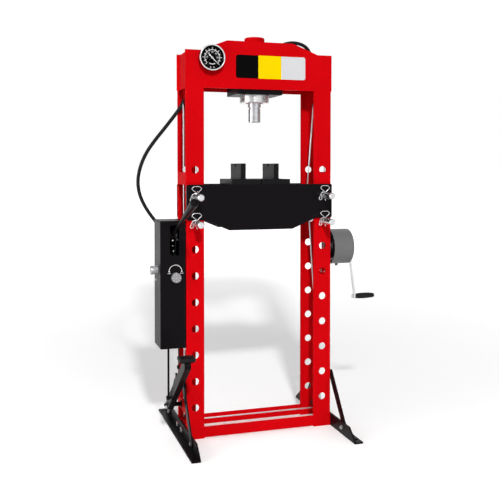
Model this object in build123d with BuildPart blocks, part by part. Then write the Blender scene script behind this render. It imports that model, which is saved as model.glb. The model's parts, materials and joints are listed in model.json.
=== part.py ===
"""Hydraulic shop press on two pairs of channel posts, in millimetres.

The origin is on the floor, straight under the ram. +X is the operator's right,
+Y points away from the operator and +Z is up. Every piece is one node.
"""
from math import atan2, cos, degrees, hypot, radians, sin

import os

from build123d import *

os.makedirs("parts", exist_ok=True)

# ---- frame -------------------------------------------------------------------
frame_width = 586.0
frame_depth = 156.0
post_width = 70.0
post_depth = 14.0
post_wall = 5.0
post_corner = 3.0
hole_pitch = 100.0
hole_count = 10
hole_d = 28.0
lowest_hole_z = 119.0
base_height = 44.0
base_plate = 6.0
base_clearance = 4.0
head_bottom_z = 1327.0

# ---- head --------------------------------------------------------------------
head_overhang = 2.0
head_shoulder = 141.0
head_rise = 40.0
head_plate = 8.0
head_crown_inset = 162.0
head_slope_inset = 59.0
head_corner = 8.0
end_plate = 8.0
end_plate_inset = 6.0
end_plate_drop = 6.0

# ---- cylinder and ram --------------------------------------------------------
bolster_width = 184.0
bolster_thickness = 33.0
bolster_sink = 19.0
cylinder_d = 79.0
cylinder_stand = 26.0
cylinder_roof = 15.0
neck_d = 70.0
bore_d = 56.0
gland_length = 28.0
ring_d = 115.0
ring_height = 29.0
ram_d = 48.0
ram_reach = 76.0
ram_stroke = 150.0
piston_height = 30.0
band_height = 14.0
band_proud = 2.0
groove_height = 6.0
groove_deep = 2.0
port_d = 14.0
port_hub = 60.0

# ---- bed ---------------------------------------------------------------------
bed_plate = 10.0
bed_height = 133.0
bed_belly = 41.0
bed_belly_inset = 166.0
bed_slope_inset = 68.0
bed_corner = 6.0
bed_gap = 0.5
spacer_thickness = 10.0
spacer_inset = 18.0
spacer_mid_x = 72.0
spacer_height = 110.0
lug_reach = 28.0
lug_thickness = 12.0
upper_pin_row = 9
lower_pin_row = 8

# ---- lock pins and clips -----------------------------------------------------
pin_d = 25.0
pin_proud = 88.0
pin_inside = 24.0
pin_chamfer = 2.5
clip_wire_d = 3.0
clip_stand = 14.0
clip_width = 42.0
clip_hole_d = 3.6

# ---- V blocks ----------------------------------------------------------------
block_foot = 117.0
block_depth = 176.0
block_plate = 20.0
block_wall_x = 57.0
block_wall_depth = 140.0
block_height = 60.0
block_gap = 2.0
notch_width = 38.0
notch_deep = 16.0
block_weld = 5.0

# ---- feet and braces ---------------------------------------------------------
foot_length = 616.0
foot_flange = 34.0
foot_height = 48.0
foot_wall = 6.0
foot_taper = 55.0
anchor_d = 14.0
anchor_outset = 20.0
anchor_spacing_y = 556.0
foot_bolt_spacing = 72.0
foot_bolt_z = 27.0
brace_width = 30.0
brace_thickness = 5.0
brace_foot_y = 198.0
brace_foot_z = 29.0
brace_top_y = 64.0
brace_top_z = 205.0
bolt_d = 12.0
bolt_af = 19.0
small_bolt_d = 8.0
small_bolt_af = 13.0
bolt_clearance = 1.0

# ---- ropes, pulleys and winch ------------------------------------------------
rope_d = 5.0
rope_gap = 0.1
pulley_pitch_r = 18.0
pulley_rim_r = 21.0
pulley_width = 14.0
top_pulley_inset = 26.0
top_pulley_z = 1274.0
low_pulley_inset = 28.0
low_pulley_z = 69.0
axle_d = 10.0
running_gap = 0.05
cheek_thickness = 4.0
cheek_width = 30.0
cheek_gap = 1.5
lift_anchor_z = 952.0
level_anchor_z = 890.0
tie_height = 48.0
tie_z = 962.0
winch_y = -25.0
winch_z = 709.0
winch_d = 140.0
winch_length = 85.0
winch_shell = 2.5
winch_offset = 12.0
drum_r = 22.4
drum_flange_d = 80.0
drum_length = 66.0
drum_flange = 3.0
lift_rope_outset = 19.0
shaft_d = 16.0
winch_post_half = 52.0
winch_bolt_half = 20.0
winch_plug_d = 13.0
winch_plug_drop = 8.0
winch_plate_trim = 60.0
winch_plate_inset = 10.0
winch_plug_inset = 36.0
winch_stay_d = 10.0
winch_plate = 4.0
bracket_height = 80.0
bracket_drop = 139.0
crank_radius = 207.0
crank_splay = 24.0
crank_bar = 6.0
crank_width = 16.0
grip_length = 87.0
grip_d = 23.0
spindle_d = 8.0

# ---- pump box, lever and pedal -----------------------------------------------
box_width = 92.0
box_depth = 122.0
box_height = 479.0
box_z = 350.0
box_sheet = 2.0
box_back_plate = 3.0
box_standoff = 3.0
slot_width = 35.0
slot_height = 113.0
slot_z = 699.0
lever_outset = 44.0
lever_y = -33.0
lever_z = 770.0
lever_angle = 20.8
lever_length = 408.0
lever_d = 13.0
lever_grip_d = 29.0
lever_grip_length = 175.0
lever_hub_d = 34.0
lever_hub_width = 20.0
lever_pin_d = 12.0
ear_thickness = 5.0
release_z = 618.0
release_outset = 41.0
release_d = 38.0
release_length = 22.0
side_knob_y = -23.0
side_knob_z = 641.0
side_knob_d = 34.0
side_knob_length = 27.0
knob_shaft_d = 10.0
pump_z = 430.0
pump_height = 260.0
pump_post = 24.0
pump_post_low = 40.0
pump_y = -10.0
strap_height = 30.0
strap_inset = 55.0
stay_width = 14.0
stay_length = 115.0
pedal_outset = 45.0
pedal_y = 13.0
pedal_z = 113.0
pedal_angle = 37.2
pedal_length = 371.0
pedal_bar = 23.0
pedal_bar_height = 36.0
pedal_wall = 3.0
pedal_lightening = 60.0
pedal_swing = 25.0
pad_width = 58.0
pad_depth = 50.0
pad_height = 14.0
pad_ribs = 7
rod_d = 8.0
rod_reach = 76.6
rod_top_z = 400.0
rod_offset = 3.0
eye_d = 18.0
eye_thickness = 6.0

# ---- pressure gauge ----------------------------------------------------------
gauge_inset = 94.0
gauge_z = 1437.0
gauge_d = 98.0
gauge_rim = 5.0
gauge_depth = 28.0
gauge_stand = 8.0
stem_d = 12.0
stem_inside = 24.0
needle_length = 34.0
needle_tail = 20.0
needle_weight_x = 12.0
needle_weight_r = 3.2

# ---- hydraulic hose ----------------------------------------------------------
hose_d = 14.0
ferrule_d = 20.0
ferrule_length = 34.0
hose_span = 586.0
hose_route = [
    (-352, 44, 782), (-352, 72, 782), (-361, 95, 798), (-384, 99, 826), (-413, 106, 868),
    (-438, 106, 920), (-446, 101, 974), (-438, 91, 1028), (-417, 80, 1082),
    (-385, 66, 1131), (-349, 55, 1177), (-315, 47, 1222), (-282, 42, 1267),
    (-259, 41, 1316), (-237, 44, 1362), (-192, 50, 1390), (-135, 54, 1399),
    (-70, 55, 1402), (0, 56, 1403), (70, 55, 1406), (132, 51, 1409),
    (188, 40, 1418), (230, 20, 1443), (240, 3, 1482), (215, 0, 1514),
    (172, 0, 1526), (128, 0, 1520), (95, 0, 1505),
]

# ---- values that follow from the sizes above ---------------------------------
half_width = frame_width / 2
half_depth = frame_depth / 2
head_half = half_width + head_overhang
head_crown_half = head_half - head_crown_inset
head_slope_half = head_half - head_slope_inset
bed_belly_half = half_width - bed_belly_inset
bed_slope_half = half_width - bed_slope_inset
anchor_spacing_x = frame_width + 2 * anchor_outset
top_pulley_x = half_width - top_pulley_inset
low_pulley_x = half_width - low_pulley_inset
lift_rope_x = half_width + lift_rope_outset
bracket_z = winch_z - bracket_drop
bracket_mid_z = bracket_z + bracket_height / 2
foot_bolt_half = foot_bolt_spacing / 2
lever_x = -half_width - lever_outset
release_x = -half_width - release_outset
pedal_x = -half_width - pedal_outset
gauge_x = gauge_inset - half_width
hose_points = [(x * frame_width / hose_span, y, z) for x, y, z in hose_route]
post_x = half_width - post_width / 2
inner_x = half_width - post_width
spacer_end_x = inner_x - spacer_inset
tie_half = half_depth - post_depth
head_top_z = head_bottom_z + head_shoulder + head_rise
head_inner = half_depth - head_plate
end_plate_x = head_half - end_plate_inset - end_plate
bolster_bottom = head_bottom_z - bolster_sink
bolster_top = bolster_bottom + bolster_thickness
cylinder_top = head_top_z + cylinder_stand
ring_bottom = bolster_bottom - ring_height
ram_tip = ring_bottom - ram_reach
pin_sag = (hole_d - pin_d) / 2 - 0.05
upper_pin_z = lowest_hole_z + (upper_pin_row - 1) * hole_pitch
lower_pin_z = lowest_hole_z + (lower_pin_row - 1) * hole_pitch
bed_end_z = lower_pin_z - pin_sag + pin_d / 2 + 0.05
bed_top = bed_end_z + bed_height
bed_face = half_depth + bed_gap
box_x = -(half_width + box_standoff + box_back_plate)
box_front = -half_depth
groove_r = pulley_pitch_r - rope_d / 2 - rope_gap
groove_width = 2 * (pulley_pitch_r - groove_r)
cheek_y = pulley_width / 2 + cheek_gap
winch_x = half_width + winch_offset
winch_face = winch_x + winch_length
pedal_dir = (-cos(radians(pedal_angle)), sin(radians(pedal_angle)))
lever_dir = (0, -cos(radians(lever_angle)), sin(radians(lever_angle)))
rod_x = pedal_x - pedal_bar / 2 - rod_offset - eye_thickness / 2
rod_y = pedal_y + rod_reach * pedal_dir[0]
rod_z = pedal_z + rod_reach * pedal_dir[1]
pivot_y_travel = rod_reach * (cos(radians(pedal_angle - pedal_swing)) - cos(radians(pedal_angle)))


def keep(builder, name):
    """Label a finished piece and write its STEP file."""
    builder.part.label = name
    export_step(builder.part, f"parts/{name}.step")


def facing(y):
    """Plane at y whose sketch shows X to the right and Z up, as from the front."""
    return Plane.XZ.offset(-y)


def hex_bolt(seat, out, size, across, grip, nut=True):
    """Hexagon bolt: head on the seat, shank through the grip, nut behind it."""
    with BuildPart() as bolt:
        with BuildSketch(seat):
            RegularPolygon(across / 2, 6, major_radius=False)
        extrude(amount=out * 0.63 * size)
        with BuildSketch(seat):
            Circle(size / 2)
        extrude(amount=-out * (grip + (1.3 * size if nut else 0)))
        if nut:
            with BuildSketch(seat.offset(-out * grip)):
                RegularPolygon(across / 2, 6, major_radius=False)
            extrude(amount=-out * 0.8 * size)
    return bolt.part


def tangent_from(point, centre, radius, turn):
    """Point where a straight rope from `point` meets a pulley; turn picks the side."""
    dx, dz = point[0] - centre[0], point[1] - centre[1]
    lean = atan2((dx**2 + dz**2 - radius**2) ** 0.5, radius)
    angle = atan2(dz, dx) + turn * lean
    return centre[0] + radius * cos(angle), centre[1] + radius * sin(angle)


# ---- posts: channels with the pin holes in their webs ------------------------
def post_pair(front):
    """Left and right channel posts of one side, webs outward (front is -1 or 1)."""
    with BuildPart() as posts:
        with BuildSketch(Plane.XY.offset(base_height)):
            with Locations((-post_x, front * (half_depth - post_depth / 2)),
                           (post_x, front * (half_depth - post_depth / 2))):
                Rectangle(post_width, post_depth)
            with Locations((-post_x, front * (half_depth - post_wall - post_depth / 2)),
                           (post_x, front * (half_depth - post_wall - post_depth / 2))):
                Rectangle(post_width - 2 * post_wall, post_depth, mode=Mode.SUBTRACT)
        extrude(amount=head_bottom_z - base_height)
        outer = posts.edges().filter_by(Axis.Z).group_by(Axis.Y)[0 if front < 0 else -1]
        fillet(outer, post_corner)
        with BuildSketch(Plane.XZ):
            column_z = lowest_hole_z + (hole_count - 1) * hole_pitch / 2
            with Locations((-post_x, column_z), (post_x, column_z)):
                with GridLocations(hole_pitch, hole_pitch, 1, hole_count):
                    Circle(hole_d / 2)
        extrude(amount=-front * (half_depth + 1), mode=Mode.SUBTRACT)
        for side in (-1, 1):
            with BuildSketch(Plane.YZ.offset(side * (half_width + 1))):
                with Locations((front * brace_top_y, brace_top_z)):
                    Circle((small_bolt_d + bolt_clearance) / 2)
            extrude(amount=-side * (post_wall + 2), mode=Mode.SUBTRACT)
    return posts


for front, name in ((-1, "posts_front"), (1, "posts_back")):
    keep(post_pair(front), name)

# ---- base rails: front and back plates under the posts ------------------------
with BuildPart() as base_rails:
    for back_face in (-half_depth + base_plate, half_depth):
        with BuildSketch(facing(back_face)):
            with Locations((0, base_height / 2)):
                Rectangle(frame_width, base_height)
            with Locations((0, base_clearance / 2)):
                Rectangle(2 * inner_x, base_clearance, mode=Mode.SUBTRACT)
        extrude(amount=base_plate)
keep(base_rails, "base_rails")

# ---- ties between the front and back posts -----------------------------------
with BuildPart() as side_ties:
    base_tie = (half_depth - base_plate, base_height / 2, base_height)
    upper_tie = (tie_half, tie_z + tie_height / 2, tie_height)
    pedal_tie = (tie_half, pedal_z, 0.85 * tie_height)
    for side, ties in ((-1, (base_tie, upper_tie, pedal_tie)), (1, (base_tie, upper_tie))):
        for half, middle, height in ties:
            with BuildSketch(Plane.YZ.offset(side * half_width)):
                with Locations((0, middle)):
                    Rectangle(2 * half, height)
                if height == base_height:
                    with Locations((-foot_bolt_half, foot_bolt_z), (foot_bolt_half, foot_bolt_z)):
                        Circle((bolt_d + bolt_clearance) / 2, mode=Mode.SUBTRACT)
                if middle == pedal_z:
                    with Locations((pedal_y, pedal_z)):
                        Circle(shaft_d / 2, mode=Mode.SUBTRACT)
            extrude(amount=-side * post_wall)
keep(side_ties, "side_ties")

# ---- head: two shaped plates joined by end plates ----------------------------
def head_outline():
    """Outline of a head plate: flat bottom, shoulders and a raised crown."""
    half = head_half
    shoulder_z = head_bottom_z + head_shoulder
    with BuildSketch() as outline:
        with BuildLine():
            Polyline(
                (-half, head_bottom_z), (half, head_bottom_z), (half, shoulder_z),
                (head_slope_half, shoulder_z), (head_crown_half, head_top_z),
                (-head_crown_half, head_top_z), (-head_slope_half, shoulder_z),
                (-half, shoulder_z), close=True,
            )
        make_face()
        fillet(outline.vertices().filter_by(lambda v: abs(v.X) < half - 1), head_corner)
        fillet(outline.vertices().group_by(Axis.Y)[0], 1.5)
    return outline.sketch


for name, back_face in (("head_front_plate", -head_inner), ("head_back_plate", half_depth)):
    with BuildPart() as head_side:
        with BuildSketch(facing(back_face)):
            add(head_outline())
            if name == "head_front_plate":
                with Locations((gauge_x, gauge_z)):
                    Circle((stem_d + 2 * bolt_clearance) / 2, mode=Mode.SUBTRACT)
        extrude(amount=head_plate)
    keep(head_side, name)

with BuildPart() as head_end_plates:
    for side in (-1, 1):
        with BuildSketch(Plane.YZ.offset(side * end_plate_x)):
            with Locations((0, head_bottom_z + (head_shoulder - end_plate_drop) / 2)):
                Rectangle(2 * head_inner, head_shoulder - end_plate_drop)
        extrude(amount=side * end_plate)
keep(head_end_plates, "head_end_plates")

# ---- bolster plate, cylinder, lock ring and ram ------------------------------
with BuildPart() as bolster:
    with BuildSketch(Plane.XY.offset(bolster_bottom)):
        Rectangle(bolster_width, 2 * head_inner)
        Circle(neck_d / 2, mode=Mode.SUBTRACT)
    extrude(amount=bolster_thickness)
    chamfer(bolster.edges().group_by(Axis.Z)[0].filter_by(Axis.Y), 2)
keep(bolster, "bolster_plate")

with BuildPart() as cylinder:
    neck_bottom = ring_bottom + 2
    with BuildSketch(Plane.XY.offset(neck_bottom)):
        Circle(neck_d / 2)
    extrude(amount=bolster_top - neck_bottom)
    with BuildSketch(Plane.XY.offset(bolster_top)):
        Circle(cylinder_d / 2)
    extrude(amount=cylinder_top - bolster_top)
    fillet(cylinder.edges().group_by(Axis.Z)[-1], 5)
    with BuildSketch(Plane.XY.offset(neck_bottom + gland_length)):
        Circle(bore_d / 2)
    extrude(amount=cylinder_top - cylinder_roof - neck_bottom - gland_length, mode=Mode.SUBTRACT)
    with BuildSketch(Plane.XY.offset(neck_bottom)):
        Circle(ram_d / 2 + running_gap)
    extrude(amount=gland_length, mode=Mode.SUBTRACT)
keep(cylinder, "cylinder_body")

with BuildPart() as lock_ring:
    with BuildSketch(Plane.XY.offset(ring_bottom)):
        Circle(ring_d / 2)
        Circle(neck_d / 2 + running_gap, mode=Mode.SUBTRACT)
    extrude(amount=ring_height)
    chamfer(lock_ring.edges().group_by(Axis.Z)[0].sort_by(SortBy.RADIUS)[-1], 2)
    with Locations(Plane.XY.offset(ring_bottom + ring_height / 2)):
        with PolarLocations(ring_d / 2 - 5, 4, start_angle=20):
            with Locations(Rotation(0, 90, 0)):
                Cylinder(4, 14, mode=Mode.SUBTRACT)
keep(lock_ring, "lock_ring")

with BuildPart() as ram:
    piston_top = cylinder_top - cylinder_roof - 8
    band_top = ring_bottom - 3
    with BuildSketch(Plane.XZ):
        with BuildLine():
            rod_r = ram_d / 2
            Polyline(
                (0, ram_tip), (rod_r - 2, ram_tip), (rod_r, ram_tip + 2),
                (rod_r, band_top - band_height - groove_height),
                (rod_r - groove_deep, band_top - band_height - groove_height),
                (rod_r - groove_deep, band_top - band_height),
                (rod_r + band_proud, band_top - band_height),
                (rod_r + band_proud, band_top), (rod_r, band_top),
                (rod_r, piston_top - piston_height),
                (bore_d / 2 - running_gap, piston_top - piston_height),
                (bore_d / 2 - running_gap, piston_top), (0, piston_top), close=True,
            )
        make_face()
    revolve(axis=Axis.Z)
keep(ram, "ram")

# ---- bed: two shaped plates, cross spacers and rope lugs ---------------------
for name, back_face in (("bed_plate_front", -bed_face), ("bed_plate_back", bed_face + bed_plate)):
    with BuildPart() as bed_side:
        with BuildSketch(facing(back_face)) as outline:
            with BuildLine():
                belly_z = bed_end_z - bed_belly
                Polyline(
                    (-half_width, bed_top), (-half_width, bed_end_z), (-bed_slope_half, bed_end_z),
                    (-bed_belly_half, belly_z), (bed_belly_half, belly_z),
                    (bed_slope_half, bed_end_z), (half_width, bed_end_z),
                    (half_width, bed_top), close=True,
                )
            make_face()
            fillet(outline.vertices(), bed_corner)
            with Locations((-post_x, upper_pin_z), (post_x, upper_pin_z)):
                Circle(hole_d / 2, mode=Mode.SUBTRACT)
        extrude(amount=bed_plate)
    keep(bed_side, name)

with BuildPart() as spacers:
    for centre in (-spacer_end_x, -spacer_mid_x, spacer_mid_x, spacer_end_x):
        with BuildSketch(Plane.YZ.offset(centre - spacer_thickness / 2)):
            with Locations((0, bed_top - 6 - spacer_height / 2)):
                Rectangle(2 * bed_face, spacer_height)
        extrude(amount=spacer_thickness)
    for side in (-1, 1):
        for anchor_z in (lift_anchor_z, level_anchor_z):
            with BuildSketch(facing(lug_thickness / 2)):
                with Locations((side * (spacer_end_x + lug_reach / 2), anchor_z - 10)):
                    RectangleRounded(lug_reach + spacer_thickness, 18, 4)
            extrude(amount=lug_thickness)
keep(spacers, "bed_spacers")

# ---- V blocks that carry the work --------------------------------------------
for side, name in ((-1, "v_block_left"), (1, "v_block_right")):
    with BuildPart() as block:
        with BuildSketch(facing(block_depth / 2)):
            with Locations((side * (block_gap + block_foot) / 2, bed_top + block_plate / 2)):
                Rectangle(block_foot - block_gap / 2, block_plate)
        extrude(amount=block_depth)
        with BuildSketch(Plane.YZ.offset(side * block_wall_x)):
            wall_top = bed_top + block_plate + block_height
            with BuildLine():
                half = block_wall_depth / 2
                Polyline(
                    (-half, bed_top + block_plate), (half, bed_top + block_plate), (half, wall_top),
                    (notch_width / 2, wall_top), (0, wall_top - notch_deep),
                    (-notch_width / 2, wall_top), (-half, wall_top), close=True,
                )
            make_face()
        extrude(amount=side * block_plate)
        weld = block.edges().filter_by(Axis.Y).filter_by(
            lambda e: abs(e.center().Z - bed_top - block_plate) < 0.1
            and block_wall_x - 1 < abs(e.center().X) < block_wall_x + block_plate + 1)
        fillet(weld, block_weld)
    keep(block, name)


# ---- lock pins with their wire clips -----------------------------------------
def lock_pin(front, x, z):
    """One lock pin; front is -1 for a pin pushed in from the front, 1 from behind."""
    inner = front * (half_depth - post_wall - pin_inside)
    length = pin_inside + post_wall + bed_gap + bed_plate + pin_proud
    with BuildPart() as pin:
        with BuildSketch(facing(inner)):
            with Locations((x, z - pin_sag)):
                Circle(pin_d / 2)
        extrude(amount=-front * length)
        chamfer(pin.edges().group_by(Axis.Y)[0 if front < 0 else -1], pin_chamfer)
        with BuildSketch(Plane.XY.offset(z - pin_sag - pin_d)):
            with Locations((x, front * (bed_face + bed_plate + clip_stand))):
                Circle(clip_hole_d / 2)
        extrude(amount=2 * pin_d, mode=Mode.SUBTRACT)
    return pin.part


def wire_clip(front, x, z):
    """One wire clip: a fan above its pin, a leg through it and a small loop below."""
    clip_y = front * (bed_face + bed_plate + clip_stand)
    unit = clip_width / 42
    bends = [(3, -20), (0, -14), (0, 15), (-10, 22), (-20, 31), (-11, 39), (11, 39),
             (21, 31), (10, 21), (3.5, 15)]
    loop = [(-3, 14.5), (-16, 10), (-27, -16), (-13, -15), (-15, 4)]
    with BuildPart() as clip:
        for route, radii in ((bends, [6, 2, 2, 5, 6, 6, 5, 2]), (loop, [5, 4, 4])):
            corners = [Vector(x + unit * u, clip_y, z - pin_sag + unit * w) for u, w in route]
            radii = [unit * bend for bend in radii]
            with BuildLine() as wire:
                FilletPolyline(*corners, radius=radii)
            path = wire.wires()[0]
            with BuildSketch(Plane(origin=path @ 0, z_dir=path % 0)):
                Circle(clip_wire_d / 2)
            sweep(path=path)
    return clip.part


for row, pin_z in (("upper", upper_pin_z), ("lower", lower_pin_z)):
    for side, place in ((-1, "left"), (1, "right")):
        with BuildPart() as pin:
            add(lock_pin(-1, side * post_x, pin_z))
        keep(pin, f"pin_{row}_{place}")
        with BuildPart() as clip:
            add(wire_clip(-1, side * post_x, pin_z))
        keep(clip, f"clip_{row}_{place}")

with BuildPart() as back_pins:
    for pin_z in (upper_pin_z, lower_pin_z):
        for x in (-post_x, post_x):
            add(lock_pin(1, x, pin_z))
            add(wire_clip(1, x, pin_z))
keep(back_pins, "back_pins")

# ---- feet: tapered angle irons with the floor holes --------------------------
for side, name in ((-1, "foot_left"), (1, "foot_right")):
    with BuildPart() as foot:
        with BuildSketch(Plane.YZ.offset(side * half_width)):
            with BuildLine():
                half = foot_length / 2
                Polyline((-half, 0), (half, 0), (half, foot_wall), (half - foot_taper, foot_height),
                         (foot_taper - half, foot_height), (-half, foot_wall), close=True)
            make_face()
            with Locations((-foot_bolt_half, foot_bolt_z), (foot_bolt_half, foot_bolt_z)):
                Circle((bolt_d + bolt_clearance) / 2, mode=Mode.SUBTRACT)
            with Locations((-brace_foot_y, brace_foot_z), (brace_foot_y, brace_foot_z)):
                Circle((small_bolt_d + bolt_clearance) / 2, mode=Mode.SUBTRACT)
        extrude(amount=side * foot_wall)
        with BuildSketch(Plane.XY):
            with Locations((side * (half_width + foot_flange / 2), 0)):
                Rectangle(foot_flange, foot_length)
            with Locations((side * anchor_spacing_x / 2, 0)):
                with GridLocations(1, anchor_spacing_y, 1, 2):
                    Circle(anchor_d / 2, mode=Mode.SUBTRACT)
        extrude(amount=foot_wall)
    keep(foot, name)

# ---- braces from the feet up to the posts ------------------------------------
with BuildPart() as braces:
    brace_run = hypot(brace_foot_y - brace_top_y, brace_top_z - brace_foot_z)
    for side in (-1, 1):
        for front in (-1, 1):
            lean = degrees(atan2(brace_top_z - brace_foot_z, front * (brace_top_y - brace_foot_y)))
            middle = (front * (brace_foot_y + brace_top_y) / 2, (brace_foot_z + brace_top_z) / 2)
            ends = ((front * brace_foot_y, brace_foot_z), (front * brace_top_y, brace_top_z))
            with BuildSketch(Plane.YZ.offset(side * (half_width + foot_wall))):
                with Locations(middle):
                    SlotCenterToCenter(brace_run, brace_width, rotation=lean)
                with Locations(*ends):
                    Circle((small_bolt_d + bolt_clearance) / 2, mode=Mode.SUBTRACT)
            extrude(amount=side * brace_thickness)
            with BuildSketch(Plane.YZ.offset(side * half_width)):
                with Locations(ends[1]):
                    Circle(brace_width / 2.6)
                    Circle((small_bolt_d + bolt_clearance) / 2, mode=Mode.SUBTRACT)
            extrude(amount=side * foot_wall)
keep(braces, "braces")

# ---- pulley brackets and the pulleys -----------------------------------------
with BuildPart() as brackets:
    for side in (-1, 1):
        for centre_x, centre_z, web_z, wall_x in (
            (top_pulley_x, top_pulley_z, head_bottom_z, end_plate_x),
            (low_pulley_x, low_pulley_z, base_height, half_width - post_wall),
        ):
            down = -1 if web_z > centre_z else 1
            for front in (-1, 1):
                with BuildSketch(facing(front * cheek_y)):
                    with Locations((side * centre_x, (centre_z + web_z) / 2)):
                        Rectangle(cheek_width, abs(web_z - centre_z))
                    with Locations((side * centre_x, centre_z)):
                        Circle(cheek_width / 2)
                        Circle((axle_d + 0.4) / 2, mode=Mode.SUBTRACT)
                extrude(amount=-front * cheek_thickness)
            with BuildSketch(facing(cheek_y + cheek_thickness)):
                near = centre_x - cheek_width / 2
                with Locations((side * (near + wall_x) / 2, web_z - down * base_plate / 2)):
                    Rectangle(wall_x - near, base_plate)
            extrude(amount=2 * (cheek_y + cheek_thickness))
keep(brackets, "pulley_brackets")

for name, side, centre_x, centre_z in (
    ("pulley_top_left", -1, top_pulley_x, top_pulley_z),
    ("pulley_top_right", 1, top_pulley_x, top_pulley_z),
    ("pulley_low_left", -1, low_pulley_x, low_pulley_z),
    ("pulley_low_right", 1, low_pulley_x, low_pulley_z),
):
    with BuildPart() as pulley:
        centre = Plane(origin=(side * centre_x, 0, centre_z), x_dir=(1, 0, 0), z_dir=(0, 0, 1))
        with BuildSketch(centre):
            half = pulley_width / 2
            bore = axle_d / 2 + running_gap
            with Locations(((pulley_rim_r + bore) / 2, 0)):
                Rectangle(pulley_rim_r - bore, pulley_width)
            with Locations((pulley_pitch_r, 0)):
                Circle(pulley_pitch_r - groove_r, mode=Mode.SUBTRACT)
            with Locations(((pulley_rim_r + pulley_pitch_r) / 2 + 1, 0)):
                Rectangle(pulley_rim_r - pulley_pitch_r + 2, groove_width, mode=Mode.SUBTRACT)
        revolve(axis=Axis((side * centre_x, 0, centre_z), (0, 1, 0)))
    keep(pulley, name)

# ---- bolts of the frame: feet, braces, pulley axles, winch and pedal nut -----
with BuildPart() as frame_bolts:
    for side in (-1, 1):
        outside = side * (half_width + foot_wall)
        for y in (-foot_bolt_half, foot_bolt_half):
            seat = Plane(origin=(outside, y, foot_bolt_z), z_dir=(1, 0, 0))
            add(hex_bolt(seat, side, bolt_d, bolt_af, foot_wall + post_wall))
        outside += side * brace_thickness
        for front in (-1, 1):
            low = Plane(origin=(outside, front * brace_foot_y, brace_foot_z), z_dir=(1, 0, 0))
            add(hex_bolt(low, side, small_bolt_d, small_bolt_af, foot_wall + brace_thickness))
            high = Plane(origin=(outside, front * brace_top_y, brace_top_z), z_dir=(1, 0, 0))
            add(hex_bolt(high, side, small_bolt_d, small_bolt_af, brace_thickness + foot_wall + post_wall))
        for centre_x, centre_z in ((top_pulley_x, top_pulley_z), (low_pulley_x, low_pulley_z)):
            cheek_face = cheek_y + cheek_thickness
            seat = Plane(origin=(side * centre_x, -cheek_face, centre_z), z_dir=(0, -1, 0))
            add(hex_bolt(seat, 1, axle_d, 1.6 * axle_d, 2 * cheek_face))
    for y in (winch_y - winch_bolt_half, winch_y + winch_bolt_half):
        seat = Plane(origin=(half_width + winch_plate, y, bracket_mid_z), z_dir=(1, 0, 0))
        add(hex_bolt(seat, 1, small_bolt_d, small_bolt_af, winch_plate + post_wall))
    nut_face = pedal_x - pedal_bar / 2 - 1
    with BuildSketch(Plane.YZ.offset(nut_face)):
        with Locations((pedal_y, pedal_z)):
            RegularPolygon(1.5 * shaft_d / 2, 6, major_radius=False)
            Circle(0.7 * shaft_d / 2, mode=Mode.SUBTRACT)
    extrude(amount=-0.5 * shaft_d)
keep(frame_bolts, "frame_bolts")

# ---- pedal shaft, pedal and pump rod -----------------------------------------
with BuildPart() as pedal_shaft:
    for start, end, diameter in (
        (-half_width + post_wall, pedal_x + pedal_bar / 2 + 1, shaft_d),
        (pedal_x + pedal_bar / 2 + 1, nut_face - 0.6 * shaft_d, 0.7 * shaft_d),
    ):
        with BuildSketch(Plane.YZ.offset(start)):
            with Locations((pedal_y, pedal_z)):
                Circle(diameter / 2)
        extrude(amount=end - start)
    with BuildSketch(Plane.YZ.offset(-half_width)):
        with Locations((pedal_y, pedal_z)):
            Circle(0.85 * shaft_d)
    extrude(amount=-4)
keep(pedal_shaft, "pedal_shaft")

pedal_plane = Plane(origin=(pedal_x, pedal_y, pedal_z), x_dir=(0, *pedal_dir), z_dir=(1, 0, 0))
with BuildPart() as pedal_arm:
    with BuildSketch(pedal_plane.offset(-pedal_bar / 2)):
        with Locations((pedal_length / 2, 0)):
            RectangleRounded(pedal_length + pedal_bar_height, pedal_bar_height, pedal_bar_height / 2.2)
    extrude(amount=pedal_bar)
    with BuildSketch(pedal_plane.offset(-pedal_bar / 2 + pedal_wall)):
        with Locations(((rod_reach + pedal_length) / 2, 0)):
            Rectangle(pedal_length - rod_reach - pedal_lightening, pedal_bar_height - 2 * pedal_wall)
    extrude(amount=pedal_bar - 2 * pedal_wall, mode=Mode.SUBTRACT)
    with BuildSketch(pedal_plane.offset(-pedal_bar / 2)):
        Circle(0.7 * shaft_d / 2 + running_gap)
    extrude(amount=pedal_bar, mode=Mode.SUBTRACT)
    pin_start = rod_x - eye_thickness / 2 - 5
    with BuildSketch(Plane.YZ.offset(pedal_x)):
        with Locations((rod_y, rod_z)):
            Circle(rod_d / 2)
    extrude(amount=pin_start - pedal_x)
    with BuildSketch(Plane.YZ.offset(pin_start)):
        with Locations((rod_y, rod_z)):
            Circle(rod_d)
    extrude(amount=4)
    pad_y = pedal_y + (pedal_length - 5) * pedal_dir[0]
    pad_z = pedal_z + (pedal_length - 5) * pedal_dir[1] + 0.55 * pedal_bar_height
    with BuildSketch(Plane.XY.offset(pad_z)):
        with Locations((pedal_x, pad_y)):
            RectangleRounded(pad_width - 8, pad_depth - 8, 5)
    extrude(amount=-4)
    with BuildSketch(Plane.YZ.offset(pedal_x - pedal_bar / 2)):
        with BuildLine():
            tip_z = pad_z - 4
            Polyline((pad_y - 16, tip_z), (pad_y + 18, tip_z), (pad_y + 2, tip_z - 24), close=True)
        make_face()
    extrude(amount=pedal_bar)
    with BuildSketch(Plane.XY.offset(pad_z)):
        with Locations((pedal_x, pad_y)):
            Rectangle(2 * pad_width, 3 * pad_depth)
    extrude(amount=2 * pedal_bar_height, mode=Mode.SUBTRACT)
keep(pedal_arm, "pedal_arm")

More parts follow.
